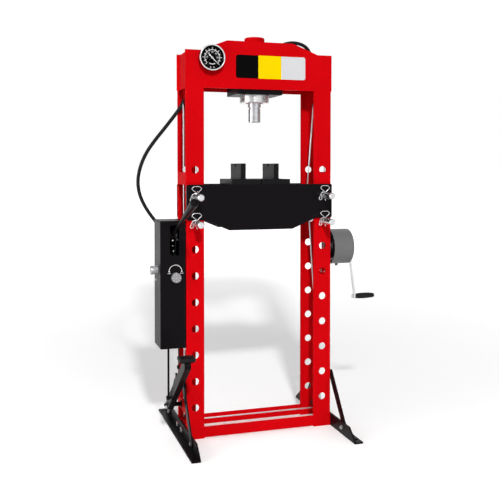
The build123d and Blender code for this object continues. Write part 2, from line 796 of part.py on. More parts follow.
with BuildPart() as pad:
    with BuildSketch(Plane.XY.offset(pad_z)):
        with Locations((pedal_x, pad_y)):
            RectangleRounded(pad_width, pad_depth, 7)
    extrude(amount=pad_height - 3)
    with BuildSketch(Plane.XY.offset(pad_z + pad_height - 3)):
        with Locations((pedal_x, pad_y)):
            with GridLocations((pad_width - 8) / pad_ribs, 1, pad_ribs, 1):
                RectangleRounded((pad_width - 8) / pad_ribs - 3, pad_depth - 10, 2)
    extrude(amount=3)
keep(pad, "pedal_pad")

with BuildPart() as pump_rod:
    with BuildSketch(Plane.YZ.offset(rod_x - eye_thickness / 2)):
        with Locations((rod_y, rod_z)):
            Circle(eye_d / 2)
            Circle(rod_d / 2 + running_gap, mode=Mode.SUBTRACT)
    extrude(amount=eye_thickness)
    with BuildSketch(Plane.XY.offset(rod_z + eye_d / 2 - 1.5)):
        with Locations((rod_x, rod_y)):
            Circle(rod_d / 2)
    extrude(amount=rod_top_z - rod_z - eye_d / 2 + 1.5)
keep(pump_rod, "pump_rod")

# ---- pump box: folded cover, back plate and the pump inside ------------------
box_left = box_x - box_width
box_back = box_front + box_depth
box_top = box_z + box_height
box_middle = (box_x + box_left) / 2
with BuildPart() as cover:
    with BuildSketch(facing(box_back)):
        with Locations((box_middle, box_z + box_height / 2)):
            Rectangle(box_width, box_height)
    extrude(amount=box_depth)
    fillet(cover.edges().filter_by(Axis.Y).group_by(Axis.X)[0], 3)
    fillet(cover.edges().filter_by(Axis.Z).group_by(Axis.X)[0], 3)
    with BuildSketch(facing(box_back - box_sheet)):
        with Locations((box_middle + box_sheet, box_z + box_height / 2)):
            Rectangle(box_width, box_height - 2 * box_sheet)
    extrude(amount=box_depth - 2 * box_sheet, mode=Mode.SUBTRACT)
    with BuildSketch(facing(box_front + box_sheet + 1)):
        with Locations((lever_x, slot_z + slot_height / 2)):
            RectangleRounded(slot_width, slot_height, 5)
        with Locations((release_x, release_z)):
            Circle(knob_shaft_d / 2 + 1)
    extrude(amount=box_sheet + 3, mode=Mode.SUBTRACT)
    with BuildSketch(Plane.YZ.offset(box_left - 1)):
        with Locations((side_knob_y, side_knob_z)):
            Circle(knob_shaft_d / 2 + 1)
    extrude(amount=box_sheet + 3, mode=Mode.SUBTRACT)
    with BuildSketch(Plane.XY.offset(box_z - 1)):
        with Locations((rod_x, rod_y)):
            SlotCenterToCenter(pivot_y_travel, rod_d + 4, rotation=90)
    extrude(amount=box_sheet + 2, mode=Mode.SUBTRACT)
    hose_x, hose_y, hose_z = hose_points[0]
    with BuildSketch(facing(box_back + 1)):
        with Locations((hose_x, hose_z)):
            Circle(ferrule_d / 2 + 1)
    extrude(amount=box_sheet + 2, mode=Mode.SUBTRACT)
keep(cover, "pump_box_cover")

with BuildPart() as back_plate:
    with BuildSketch(Plane.YZ.offset(box_x)):
        with Locations(((box_front + box_back) / 2, box_z + box_height / 2)):
            Rectangle(box_depth, box_height)
    extrude(amount=box_back_plate)
    with BuildSketch(Plane.YZ.offset(box_x)):
        with Locations((box_back - stay_width / 2, box_z - stay_length / 2)):
            Rectangle(stay_width, stay_length)
    extrude(amount=box_back_plate)
    fillet(back_plate.edges().filter_by(Axis.X).group_by(Axis.Z)[0], stay_width / 2.5)
    for strap_z in (box_z + strap_inset, box_top - strap_inset):
        with BuildSketch(Plane.YZ.offset(box_x + box_back_plate)):
            with Locations((0, strap_z)):
                Rectangle(2 * half_depth - 6, strap_height)
        extrude(amount=box_standoff)
    stay_bolt = Plane(origin=(box_x, box_back - stay_width / 2, box_z - stay_length + 15), z_dir=(1, 0, 0))
    add(hex_bolt(stay_bolt, -1, small_bolt_d, small_bolt_af, box_back_plate, nut=False))
keep(back_plate, "pump_box_back")

with BuildPart() as pump:
    pump_right = box_x - 4
    pump_left = box_left + box_sheet + 4
    pump_back = box_back - box_sheet - 4
    with BuildSketch(Plane.XY.offset(pump_z)):
        with Locations(((pump_left + pump_right) / 2, (pump_y + pump_back) / 2)):
            RectangleRounded(pump_right - pump_left, pump_back - pump_y, 8)
    extrude(amount=pump_height)
    fillet(pump.edges().group_by(Axis.Z)[-1], 4)
    with BuildSketch(Plane.YZ.offset(pump_right)):
        with Locations(((pump_y + pump_back) / 2, pump_z + pump_height / 2)):
            with GridLocations(1, pump_height - 2 * pump_post_low, 1, 2):
                Rectangle(pump_post, pump_post)
    extrude(amount=box_x - pump_right)
    ear_out = lever_hub_width / 2 + 1
    for inner in (lever_x - ear_out - ear_thickness, lever_x + ear_out):
        with BuildSketch(Plane.YZ.offset(inner)):
            with BuildLine():
                shoulder = pump_z + pump_height - 5
                Polyline((lever_y - 10, lever_z), (lever_y + 10, lever_z), (pump_back - 10, shoulder),
                         (pump_y + 1, shoulder), close=True)
            make_face()
            with Locations((lever_y, lever_z)):
                Circle(13)
        extrude(amount=ear_thickness)
    with BuildSketch(Plane.YZ.offset(lever_x - ear_out - ear_thickness - 3)):
        with Locations((lever_y, lever_z)):
            Circle(lever_pin_d / 2)
    extrude(amount=2 * (ear_out + ear_thickness + 3))
    with BuildSketch(facing(pump_y + 22)):
        with Locations((release_x, release_z)):
            Circle(knob_shaft_d / 2 + running_gap)
    extrude(amount=24, mode=Mode.SUBTRACT)
    with BuildSketch(Plane.YZ.offset(pump_left)):
        with Locations((side_knob_y, side_knob_z)):
            Circle(11)
        with Locations(((side_knob_y + pump_y) / 2 + 1, side_knob_z)):
            Rectangle(pump_y - side_knob_y + 2, 16)
        with Locations((side_knob_y, side_knob_z)):
            Circle(knob_shaft_d / 2 + running_gap, mode=Mode.SUBTRACT)
    extrude(amount=18)
    port = Plane(origin=(hose_x, box_back - box_sheet - 6, hose_z), z_dir=(0, -1, 0))
    with BuildSketch(port):
        Circle(ferrule_d / 2)
    extrude(amount=18)
    with BuildSketch(Plane.XY.offset(pump_z + pump_height - 2)):
        with Locations((hose_x, box_back - box_sheet - 16)):
            Rectangle(18, 14)
    extrude(amount=hose_z - pump_z - pump_height + 9)
keep(pump, "pump_block")

# ---- knobs on the pump box ---------------------------------------------------
with BuildPart() as release_knob:
    with BuildSketch(facing(box_front - 0.5)):
        with Locations((release_x, release_z)):
            Circle(release_d / 2)
    extrude(amount=release_length)
    rim = release_knob.edges().group_by(Axis.Y)[0]
    fillet(rim, 2.5)
    with BuildSketch(facing(box_front - 0.5 - release_length)):
        with Locations((release_x, release_z)):
            with PolarLocations(0, 2, angular_range=180, start_angle=45):
                SlotOverall(0.7 * release_d, 3)
    extrude(amount=-2, mode=Mode.SUBTRACT)
    with BuildSketch(facing(box_front)):
        with Locations((release_x, release_z)):
            with PolarLocations(release_d / 2 + 0.4, 20):
                Circle(1.5)
    extrude(amount=release_length + 2, mode=Mode.SUBTRACT)
    with BuildSketch(facing(pump_y + 18)):
        with Locations((release_x, release_z)):
            Circle(knob_shaft_d / 2)
    extrude(amount=pump_y + 18 - box_front + 1)
keep(release_knob, "release_knob")

with BuildPart() as side_knob:
    with BuildSketch(Plane.YZ.offset(box_left - 0.5)):
        with Locations((side_knob_y, side_knob_z)):
            Circle(side_knob_d / 2)
    extrude(amount=-side_knob_length)
    fillet(side_knob.edges().group_by(Axis.X)[0], 3)
    with BuildSketch(Plane.YZ.offset(box_left)):
        with Locations((side_knob_y, side_knob_z)):
            with PolarLocations(side_knob_d / 2 + 0.4, 18):
                Circle(1.5)
    extrude(amount=-side_knob_length + 6, mode=Mode.SUBTRACT)
    with BuildSketch(Plane.YZ.offset(box_left - 1)):
        with Locations((side_knob_y, side_knob_z)):
            Circle(knob_shaft_d / 2)
    extrude(amount=box_sheet + 18)
keep(side_knob, "side_knob")

# ---- hand lever of the pump --------------------------------------------------
with BuildPart() as hand_lever:
    along = Plane(origin=(lever_x, lever_y, lever_z), x_dir=lever_dir, z_dir=(1, 0, 0))
    with BuildSketch(along):
        grip_start = lever_length - lever_grip_length
        with BuildLine():
            thin, thick = lever_d / 2, lever_grip_d / 2
            Line((0, 0), (lever_length, 0))
            Line((0, 0), (0, thin))
            Line((0, thin), (grip_start, thin))
            Line((grip_start, thin), (grip_start, thin + 3))
            Spline((grip_start, thin + 3), (grip_start + 0.45 * lever_grip_length, 0.82 * thick),
                   (lever_length - thick, thick), tangents=((1, 0.05), (1, 0)))
            JernArc((lever_length - thick, thick), (1, 0), thick, -90)
        make_face()
    revolve(axis=Axis((lever_x, lever_y, lever_z), lever_dir))
    with BuildSketch(along.offset(-lever_hub_width / 2)):
        Circle(lever_hub_d / 2)
    extrude(amount=lever_hub_width)
    with BuildSketch(along.offset(-lever_hub_width / 2 - 1)):
        Circle(lever_pin_d / 2 + running_gap)
    extrude(amount=lever_hub_width + 2, mode=Mode.SUBTRACT)
keep(hand_lever, "hand_lever")

# ---- winch: bracket, housing, drum and crank ---------------------------------
with BuildPart() as winch_bracket:
    with BuildSketch(Plane.YZ.offset(half_width - post_wall)):
        with Locations((0, bracket_mid_z)):
            Rectangle(2 * tie_half, bracket_height)
        with Locations((winch_y - winch_bolt_half, bracket_mid_z), (winch_y + winch_bolt_half, bracket_mid_z)):
            Circle((small_bolt_d + bolt_clearance) / 2, mode=Mode.SUBTRACT)
    extrude(amount=post_wall)
keep(winch_bracket, "winch_bracket")

with BuildPart() as housing:
    with BuildSketch(Plane.YZ.offset(winch_x)):
        with Locations((winch_y, winch_z)):
            Circle(winch_d / 2)
    extrude(amount=winch_length)
    fillet(housing.edges().group_by(Axis.X)[-1], 4)
    with BuildSketch(Plane.YZ.offset(winch_x)):
        with Locations((winch_y, winch_z)):
            Circle(winch_d / 2 - winch_shell)
    extrude(amount=winch_length - winch_shell, mode=Mode.SUBTRACT)
    with BuildSketch(Plane.YZ.offset(winch_face - winch_shell - 4)):
        with Locations((winch_y, winch_z)):
            Circle(shaft_d)
    extrude(amount=6)
    with BuildSketch(Plane.YZ.offset(winch_x - winch_length)):
        with Locations((winch_y, winch_z)):
            Circle(shaft_d / 2 + running_gap)
    extrude(amount=3 * winch_length, mode=Mode.SUBTRACT)
    with BuildSketch(Plane.XY.offset(winch_z + winch_d / 4)):
        with Locations(((winch_x + lift_rope_x) / 2 + 3, 0)):
            Rectangle(lift_rope_x - winch_x + 14, rope_d + 9)
    extrude(amount=winch_d / 2, mode=Mode.SUBTRACT)
    for z in (winch_z - winch_post_half, winch_z + winch_post_half):
        with BuildSketch(Plane.YZ.offset(half_width + winch_plate)):
            with Locations((winch_y, z)):
                Circle(winch_stay_d / 2)
        extrude(amount=winch_face - winch_shell - half_width - winch_plate)
    with BuildSketch(Plane.XY.offset(winch_z - winch_d / 2 - winch_plug_drop)):
        with Locations((winch_x + winch_plug_inset, winch_y)):
            RegularPolygon(winch_plug_d / 2, 6)
    extrude(amount=winch_plug_drop + winch_shell)
    with BuildSketch(Plane.YZ.offset(half_width)):
        with Locations((winch_y, winch_z)):
            SlotCenterToCenter(2 * winch_post_half - winch_plate_trim, drum_flange_d, rotation=90)
        with Locations((winch_y, (bracket_z + winch_plate_inset + winch_z) / 2)):
            Rectangle(drum_flange_d, winch_z - bracket_z - winch_plate_inset)
        with Locations((winch_y, winch_z)):
            Circle(shaft_d / 2 + running_gap, mode=Mode.SUBTRACT)
        with Locations((winch_y - winch_bolt_half, bracket_mid_z), (winch_y + winch_bolt_half, bracket_mid_z)):
            Circle((small_bolt_d + bolt_clearance) / 2, mode=Mode.SUBTRACT)
    extrude(amount=winch_plate)
keep(housing, "winch_housing")

with BuildPart() as drum:
    drum_x = half_width + winch_plate + 1
    shaft_end = winch_face + crank_bar + 12
    with BuildSketch(Plane.XZ.offset(-winch_y)) as drum_profile:
        with BuildLine():
            shaft_r, rim_r = shaft_d / 2, drum_flange_d / 2
            Polyline(
                (half_width - post_wall - 4, winch_z), (half_width - post_wall - 4, winch_z + shaft_r),
                (drum_x, winch_z + shaft_r), (drum_x, winch_z + rim_r),
                (drum_x + drum_flange, winch_z + rim_r), (drum_x + drum_flange, winch_z + drum_r),
                (drum_x + drum_length - drum_flange, winch_z + drum_r),
                (drum_x + drum_length - drum_flange, winch_z + rim_r),
                (drum_x + drum_length, winch_z + rim_r), (drum_x + drum_length, winch_z + shaft_r),
                (shaft_end, winch_z + shaft_r), (shaft_end, winch_z), close=True,
            )
        make_face()
    revolve(axis=Axis((0, winch_y, winch_z), (1, 0, 0)))
keep(drum, "winch_drum")

with BuildPart() as crank:
    hub_x = winch_face + 3
    tip_x = hub_x + crank_bar / 2 + crank_splay
    tip_z = winch_z - crank_radius
    with BuildSketch(Plane.XZ.offset(-winch_y)):
        with BuildLine():
            Polyline(
                (hub_x + crank_bar / 2, winch_z + 12), (hub_x + crank_bar / 2, winch_z - 18),
                (tip_x, tip_z + 22), (tip_x, tip_z - 10),
            )
        trace(line_width=crank_bar)
    extrude(amount=crank_width / 2, both=True)
    with BuildSketch(Plane.YZ.offset(hub_x)):
        with Locations((winch_y, winch_z)):
            Circle(0.85 * shaft_d)
    extrude(amount=crank_bar + 5)
    with BuildSketch(Plane.YZ.offset(hub_x - 1)):
        with Locations((winch_y, winch_z)):
            Circle(shaft_d / 2 + 0.02)
    extrude(amount=crank_bar + 8, mode=Mode.SUBTRACT)
    with BuildSketch(Plane.YZ.offset(tip_x)):
        with Locations((winch_y, tip_z)):
            Circle(spindle_d / 2)
    extrude(amount=crank_bar / 2 + grip_length - 8)
    with BuildSketch(Plane.YZ.offset(tip_x - crank_bar / 2)):
        with Locations((winch_y, tip_z)):
            RegularPolygon(7, 6, major_radius=False)
    extrude(amount=-7)
keep(crank, "crank")

with BuildPart() as grip:
    grip_x = tip_x + crank_bar / 2 + 1
    grip_end = grip_x + grip_length
    grip_r = grip_d / 2
    with BuildSketch(Plane.XZ.offset(-winch_y)):
        with BuildLine():
            Polyline((grip_end, tip_z), (grip_x, tip_z), (grip_x, tip_z + 0.8 * grip_r))
            Spline((grip_x, tip_z + 0.8 * grip_r), (grip_x + 0.55 * grip_length, tip_z + grip_r),
                   (grip_end - 9, tip_z + 9))
            RadiusArc((grip_end - 9, tip_z + 9), (grip_end, tip_z), 9)
        make_face()
    revolve(axis=Axis((0, winch_y, tip_z), (1, 0, 0)))
    with BuildSketch(Plane.YZ.offset(grip_x - 1)):
        with Locations((winch_y, tip_z)):
            Circle(spindle_d / 2 + running_gap)
    extrude(amount=grip_length - 6, mode=Mode.SUBTRACT)
keep(grip, "crank_grip")


# ---- wire ropes --------------------------------------------------------------
def swept_rope(wire):
    """The rope's round section swept along a finished wire."""
    path = wire.wires()[0]
    with BuildPart() as rope:
        with BuildSketch(Plane(origin=path @ 0, z_dir=path % 0)):
            Circle(rope_d / 2)
        sweep(path=path)
    return rope.part


top_right = (top_pulley_x, top_pulley_z)
top_left = (-top_pulley_x, top_pulley_z)
low_right = (low_pulley_x, low_pulley_z)
low_left = (-low_pulley_x, low_pulley_z)
lug_x = spacer_end_x + spacer_thickness / 2 + lug_reach - 14
level_lug_x = lug_x + 5
drum_leave = (lift_rope_x, winch_z)
lift_on = tangent_from(drum_leave, top_right, pulley_pitch_r, 1)
lift_off = tangent_from((lug_x, lift_anchor_z), top_right, pulley_pitch_r, -1)
level_on = tangent_from((level_lug_x, level_anchor_z), low_right, pulley_pitch_r, -1)
riser_top = tangent_from((-level_lug_x, lift_anchor_z), top_left, pulley_pitch_r, 1)


def over(centre):
    """Point of the rope on top of a pulley."""
    return centre[0], centre[1] + pulley_pitch_r


def under(centre):
    """Point of the rope below a pulley."""
    return centre[0], centre[1] - pulley_pitch_r


with BuildPart() as rope_lift:
    with BuildLine(Plane.XZ) as wire:
        Line(drum_leave, lift_on)
        ThreePointArc(lift_on, over(top_right), lift_off)
    add(swept_rope(wire))
keep(rope_lift, "rope_lift")

with BuildPart() as rope_level:
    side_out = low_left[0] - pulley_pitch_r
    lean = atan2(top_pulley_x - low_pulley_x, top_pulley_z - low_pulley_z)
    riser_low = (low_left[0] - pulley_pitch_r * cos(lean), low_left[1] - pulley_pitch_r * sin(lean))
    riser_high = (top_left[0] - pulley_pitch_r * cos(lean), top_left[1] - pulley_pitch_r * sin(lean))
    quarter = pulley_pitch_r * sin(radians(45))
    with BuildLine(Plane.XZ) as wire:
        ThreePointArc(level_on, (low_right[0] + quarter, low_right[1] - quarter), under(low_right))
        Line(under(low_right), under(low_left))
        ThreePointArc(under(low_left), (low_left[0] - quarter, low_left[1] - quarter), riser_low)
        Line(riser_low, riser_high)
        ThreePointArc(riser_high, over(top_left), riser_top)
    add(swept_rope(wire))
keep(rope_level, "rope_level")

with BuildPart() as falls:
    for start, end in ((lift_off, (lug_x, lift_anchor_z)), (riser_top, (-level_lug_x, lift_anchor_z))):
        with BuildLine(Plane.XZ) as wire:
            Line(start, end)
        add(swept_rope(wire))
keep(falls, "rope_falls_upper")

with BuildPart() as low_fall:
    with BuildLine(Plane.XZ) as wire:
        Line((level_lug_x, level_anchor_z - 19.5), level_on)
    add(swept_rope(wire))
keep(low_fall, "rope_fall_lower")

# ---- pressure gauge ----------------------------------------------------------
gauge_back = -half_depth - gauge_stand
gauge_front = gauge_back - gauge_depth
with BuildPart() as gauge_case:
    with BuildSketch(facing(gauge_back)):
        with Locations((gauge_x, gauge_z)):
            Circle(gauge_d / 2 - 2)
    extrude(amount=gauge_depth - 3)
    with BuildSketch(facing(gauge_back - 4)):
        with Locations((gauge_x, gauge_z)):
            Circle(gauge_d / 2 - 4)
    extrude(amount=gauge_depth, mode=Mode.SUBTRACT)
    with BuildSketch(facing(gauge_back + gauge_stand + head_plate + stem_inside)):
        with Locations((gauge_x, gauge_z)):
            Circle(stem_d / 2)
    extrude(amount=gauge_stand + head_plate + stem_inside + 1)
    with BuildSketch(facing(-half_depth - 0.5)):
        with Locations((gauge_x, gauge_z)):
            RegularPolygon(0.75 * stem_d, 6, major_radius=False)
    extrude(amount=gauge_stand)
keep(gauge_case, "gauge_case")

with BuildPart() as bezel:
    with BuildSketch(facing(gauge_front + 9)):
        with Locations((gauge_x, gauge_z)):
            Circle(gauge_d / 2)
            Circle(gauge_d / 2 - 2 + 0.05, mode=Mode.SUBTRACT)
    extrude(amount=6)
    with BuildSketch(facing(gauge_front + 3)):
        with Locations((gauge_x, gauge_z)):
            Circle(gauge_d / 2)
            Circle(gauge_d / 2 - gauge_rim, mode=Mode.SUBTRACT)
    extrude(amount=4)
    fillet(bezel.edges().group_by(Axis.Y)[0], 1.5)
keep(bezel, "gauge_bezel")

with BuildPart() as dial:
    with BuildSketch(facing(gauge_front + 12)):
        with Locations((gauge_x, gauge_z)):
            Circle(gauge_d / 2 - 4.1)
    extrude(amount=1.5)
    with BuildSketch(facing(gauge_front + 12)):
        with Locations((gauge_x, gauge_z)):
            Circle(1.5)
    extrude(amount=6.5)
keep(dial, "gauge_dial")

with BuildPart() as glass:
    with BuildSketch(facing(gauge_front + 3)):
        with Locations((gauge_x, gauge_z)):
            Circle(gauge_d / 2 - gauge_rim - 0.1)
    extrude(amount=2)
keep(glass, "gauge_glass")

with BuildPart() as needle:
    with BuildSketch(facing(gauge_front + 8.5)) as blade:
        with BuildLine():
            Polyline((0, -1.6), (needle_length, -0.4), (needle_length, 0.4), (0, 1.6),
                     (-needle_tail, 0.8), (-needle_tail, -0.8), close=True)
        make_face()
        Circle(4)
        with Locations((-needle_weight_x, 0)):
            Circle(needle_weight_r)
        Circle(1.6, mode=Mode.SUBTRACT)
    extrude(amount=1)
turned = needle.part.rotate(Axis((0, 0, 0), (0, 1, 0)), 45).translate((gauge_x, 0, gauge_z))
turned.label = "gauge_needle"
export_step(turned, "parts/gauge_needle.step")

# ---- hydraulic hose and its end fittings -------------------------------------
exit_from = Vector(*hose_points[0])
arrive_at = Vector(*hose_points[-1])
out_dir = (Vector(*hose_points[1]) - exit_from).normalized()
in_dir = (arrive_at - Vector(*hose_points[-2])).normalized()
with BuildPart() as hose:
    runs = [(Vector(*b) - Vector(*a)) for a, b in zip(hose_points, hose_points[1:])]
    bends = []
    for before, after in zip(runs, runs[1:]):
        half_turn = radians(before.get_angle(after)) / 2
        bends.append(0.45 * min(before.length, after.length) * cos(half_turn) / sin(half_turn))
    with BuildLine() as route:
        FilletPolyline(*hose_points, radius=bends)
    with BuildSketch(Plane(origin=exit_from, z_dir=out_dir)):
        Circle(hose_d / 2)
    sweep(path=route.wires()[0])
keep(hose, "hose")
hose_length = route.wires()[0].length
print("hose length", round(hose_length, 1), "volume ratio",
      round(hose.part.volume / (hose_length * 3.141593 * hose_d**2 / 4), 4))
print("hose radii", [round(r) for r in bends])

with BuildPart() as fittings:
    with BuildSketch(Plane(origin=exit_from, z_dir=-out_dir)):
        Circle(ferrule_d / 2 - 1)
    extrude(amount=box_sheet + 6)
    elbow = Plane(origin=arrive_at, z_dir=in_dir)
    with BuildSketch(elbow):
        Circle(ferrule_d / 2)
    extrude(amount=ferrule_length)
    with BuildSketch(elbow):
        Circle(port_d / 2)
    extrude(amount=arrive_at.X / -in_dir.X)
    with BuildSketch(Plane.XY.offset(head_top_z - port_hub)):
        Circle(cylinder_d / 2)
    extrude(amount=cylinder_top - head_top_z + port_hub, mode=Mode.SUBTRACT)
keep(fittings, "hose_fittings")
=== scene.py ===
# %% [markdown]
# # A hydraulic shop press, dressed for the camera
# The part file model.glb already holds every steel piece at its true size. This
# lesson loads those pieces as a fixed frame and adds what a press needs to look real:
# finishes for paint, steel, chrome and rubber, a hose that bends smoothly, plain copies
# of the rope falls, a plain colour label, the gauge's scale and a few small parts of
# the pump box. Lengths are in metres, +X is the operator's right, +Y points away from
# the operator and +Z is up.

# %% Load the frame
import json
import math

import bpy
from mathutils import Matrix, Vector


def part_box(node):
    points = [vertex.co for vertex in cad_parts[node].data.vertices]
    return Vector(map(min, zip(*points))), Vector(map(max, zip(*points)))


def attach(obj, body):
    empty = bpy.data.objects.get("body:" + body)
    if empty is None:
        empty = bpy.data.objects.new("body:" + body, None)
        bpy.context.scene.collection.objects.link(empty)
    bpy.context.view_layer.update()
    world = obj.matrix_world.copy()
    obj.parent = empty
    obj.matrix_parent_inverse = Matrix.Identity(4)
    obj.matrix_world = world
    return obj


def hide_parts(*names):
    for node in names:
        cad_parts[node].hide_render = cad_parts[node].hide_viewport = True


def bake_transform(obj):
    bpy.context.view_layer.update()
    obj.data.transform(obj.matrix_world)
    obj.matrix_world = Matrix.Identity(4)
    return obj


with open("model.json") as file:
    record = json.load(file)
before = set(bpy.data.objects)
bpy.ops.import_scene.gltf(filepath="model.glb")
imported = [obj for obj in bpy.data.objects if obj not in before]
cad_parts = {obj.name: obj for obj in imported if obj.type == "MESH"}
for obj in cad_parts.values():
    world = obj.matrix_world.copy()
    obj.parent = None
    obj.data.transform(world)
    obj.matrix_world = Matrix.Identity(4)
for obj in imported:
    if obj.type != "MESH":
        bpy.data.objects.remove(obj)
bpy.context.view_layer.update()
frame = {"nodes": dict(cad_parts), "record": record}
nodes = frame["nodes"]

# %% [markdown]
# ## Camera
# The press is seen from its left front, a little above the middle. A lens of about
# 55 mm keeps the uprights almost parallel. The camera looks down by only 1.5 degrees,
# so the uprights stay upright, and a small shift of the lens brings the floor into the
# frame.


# %% Camera
def add_to_scene(name, data):
    """A new object in the scene for some data."""
    obj = bpy.data.objects.new(name, data)
    bpy.context.scene.collection.objects.link(obj)
    return obj


CAMERA_PLACE = (-0.9258, -2.892, 1.0285)
CAMERA_DOWN = 1.5  # degrees below level
CAMERA_TURN = -17.425  # degrees from square, towards the operator's right
camera_data = bpy.data.cameras.new("press_camera")
camera_data.lens = 55.43
camera_data.sensor_width = 36.0
camera_data.shift_y = -0.1252
camera = add_to_scene("press_camera", camera_data)
camera.location = CAMERA_PLACE
camera.rotation_euler = (math.radians(90 - CAMERA_DOWN), 0, math.radians(CAMERA_TURN))
bpy.context.scene.camera = camera
print("camera at", tuple(round(c, 3) for c in camera.location))

# %% [markdown]
# ## Small helpers
# Most added pieces are thin plates and discs. Each starts as an outline seen from the
# front, a list of (x, z) corners. The slab helper gives the outline a thickness, and
# the finishing helper lets the piece ride on the body that carries it.


# %% Helpers for added pieces
def finish_piece(obj, body, slot, material=None):
    """Gives a new piece its material, the finish of its slot unless another is given, and the body it rides
    on.
    """
    obj.data.materials.append(material or finishes[slot])
    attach(obj, body)
    return obj


def slab(name, outline, y_back, thickness):
    """A flat plate facing the operator, with its back at y_back."""
    count = len(outline)
    points = [(x, y, z) for y in (y_back, y_back - thickness) for x, z in outline]
    faces = [tuple(range(count))[::-1], tuple(range(count, 2 * count))]
    faces += [(i, (i + 1) % count, count + (i + 1) % count, count + i) for i in range(count)]
    mesh = bpy.data.meshes.new(name)
    mesh.from_pydata(points, [], faces)
    mesh.update()
    return add_to_scene(name, mesh)


def on_circle(x, z, radius, angle):
    """The point of a circle at an angle in radians."""
    return x + radius * math.cos(angle), z + radius * math.sin(angle)


def ring_outline(x, z, radius, steps):
    """Outline of a disc."""
    return [on_circle(x, z, radius, 2 * math.pi * step / steps) for step in range(steps)]


def arc_outline(x, z, inner, outer, start, end, steps):
    """Outline of a curved bar between two radii and two angles in degrees."""
    return [on_circle(x, z, radius, math.radians(start + (end - start) * step / steps))
            for radius, order in ((outer, 1), (inner, -1)) for step in range(steps + 1)[::order]]


def bar_outline(x, z, angle, inner, outer, half_width):
    """Outline of a straight bar that points away from a centre."""
    return [(x + along * math.cos(angle) + across * math.sin(angle),
             z + along * math.sin(angle) - across * math.cos(angle))
            for along, across in ((inner, half_width), (outer, half_width),
                                  (outer, -half_width), (inner, -half_width))]


def plate_outline(x0, x1, z0, z1, radii=(0, 0, 0, 0), steps=6):
    """Outline of a rectangle whose corners have their own radii, from the lower left."""
    corners = ((x0, z0, 180), (x1, z0, 270), (x1, z1, 0), (x0, z1, 90))
    outline = []
    for (x, z, start), radius in zip(corners, radii):
        if radius == 0:
            outline.append((x, z))
            continue
        centre_x = x + radius if x == x0 else x - radius
        centre_z = z + radius if z == z0 else z - radius
        outline += [on_circle(centre_x, centre_z, radius, math.radians(start + 90 * step / steps))
                    for step in range(steps + 1)]
    return outline


# %% [markdown]
# ## Shared surface effects
# Painted and rolled steel is never perfectly even. Two node groups serve all the
# finishes: one gives the soft ripple of sprayed paint, and one gives the fine lines
# that brushing or turning leaves. They put out only masks and normals, and each
# material keeps its own shader.


# %% Shared node groups
def add_node(tree, kind, values=None, operation=None):
    """A shader node with some of its inputs set, and its operation if it has one."""
    node = tree.nodes.new(f"ShaderNode{kind}")
    if operation:
        node.operation = operation
    for socket, value in (values or {}).items():
        node.inputs[socket].default_value = value
    return node


def wire(tree, *links):
    """Joins sockets, given as pairs of an output and an input."""
    for source, target in links:
        tree.links.new(source, target)


def new_group(name, inputs, mask):
    """A node group with named inputs that puts out one mask and a normal."""
    group = bpy.data.node_groups.new(name, "ShaderNodeTree")
    for label, kind, value in inputs:
        group.interface.new_socket(label, in_out="INPUT", socket_type=kind).default_value = value
    group.interface.new_socket(mask, in_out="OUTPUT", socket_type="NodeSocketFloat")
    group.interface.new_socket("Normal", in_out="OUTPUT", socket_type="NodeSocketVector")
    return group, group.nodes.new("NodeGroupInput"), group.nodes.new("NodeGroupOutput")


def make_ripple_group():
    """Soft orange-peel ripple and broad cloudy variation for sprayed paint."""
    group, given, out = new_group(
        "paint_ripple",
        [("Ripple Size", "NodeSocketFloat", 420.0), ("Ripple Height", "NodeSocketFloat", 0.08)],
        "Cloud",
    )
    place = add_node(group, "TexCoord")
    ripple = add_node(group, "TexNoise", {"Detail": 2.0})
    cloud = add_node(group, "TexNoise", {"Scale": 7.0, "Detail": 4.0})
    bump = add_node(group, "Bump", {"Distance": 0.0004})
    wire(
        group,
        (place.outputs["Object"], ripple.inputs["Vector"]),
        (place.outputs["Object"], cloud.inputs["Vector"]),
        (given.outputs["Ripple Size"], ripple.inputs["Scale"]),
        (given.outputs["Ripple Height"], bump.inputs["Strength"]),
        (ripple.outputs["Fac"], bump.inputs["Height"]),
        (cloud.outputs["Fac"], out.inputs["Cloud"]),
        (bump.outputs["Normal"], out.inputs["Normal"]),
    )
    return group


def make_grain_group():
    """Fine lines along one direction, for brushed and turned steel."""
    group, given, out = new_group(
        "metal_grain",
        [("Stretch", "NodeSocketVector", (40.0, 40.0, 900.0)), ("Depth", "NodeSocketFloat", 0.1)],
        "Lines",
    )
    place = add_node(group, "TexCoord")
    stretch = add_node(group, "VectorMath", operation="MULTIPLY")
    noise = add_node(group, "TexNoise", {"Scale": 1.0, "Detail": 3.0})
    bump = add_node(group, "Bump", {"Distance": 0.0003})
    wire(
        group,
        (place.outputs["Object"], stretch.inputs[0]),
        (given.outputs["Stretch"], stretch.inputs[1]),
        (stretch.outputs["Vector"], noise.inputs["Vector"]),
        (given.outputs["Depth"], bump.inputs["Strength"]),
        (noise.outputs["Fac"], bump.inputs["Height"]),
        (noise.outputs["Fac"], out.inputs["Lines"]),
        (bump.outputs["Normal"], out.inputs["Normal"]),
    )
    return group


ripple_group = make_ripple_group()
grain_group = make_grain_group()
print("shared groups:", ripple_group.name, grain_group.name)

# %% [markdown]
# ## Finishes
# The press has gloss red paint on the frame, satin black on the bed, the feet and the
# pump box, and near-black V blocks. The winch housing is black, but it is painted mid
# grey all over as a painted highlight. Bare parts are plated or ground steel.
# A colour ramp driven by a mask shifts each colour by a few percent, because no surface
# is ever one flat value.


# %% Paint and metal materials
MASK_LOW, MASK_HIGH = 0.3, 0.7  # the part of a mask that carries its variation


def new_material(name):
    """A material with its node tree and its Principled shader."""
    material = bpy.data.materials.new(name)
    material.use_nodes = True
    return material, material.node_tree, material.node_tree.nodes["Principled BSDF"]


def shade(rgb, factor):
    """The same colour a little darker or lighter, with full alpha."""
    return tuple(min(1.0, channel * factor) for channel in rgb) + (1.0,)


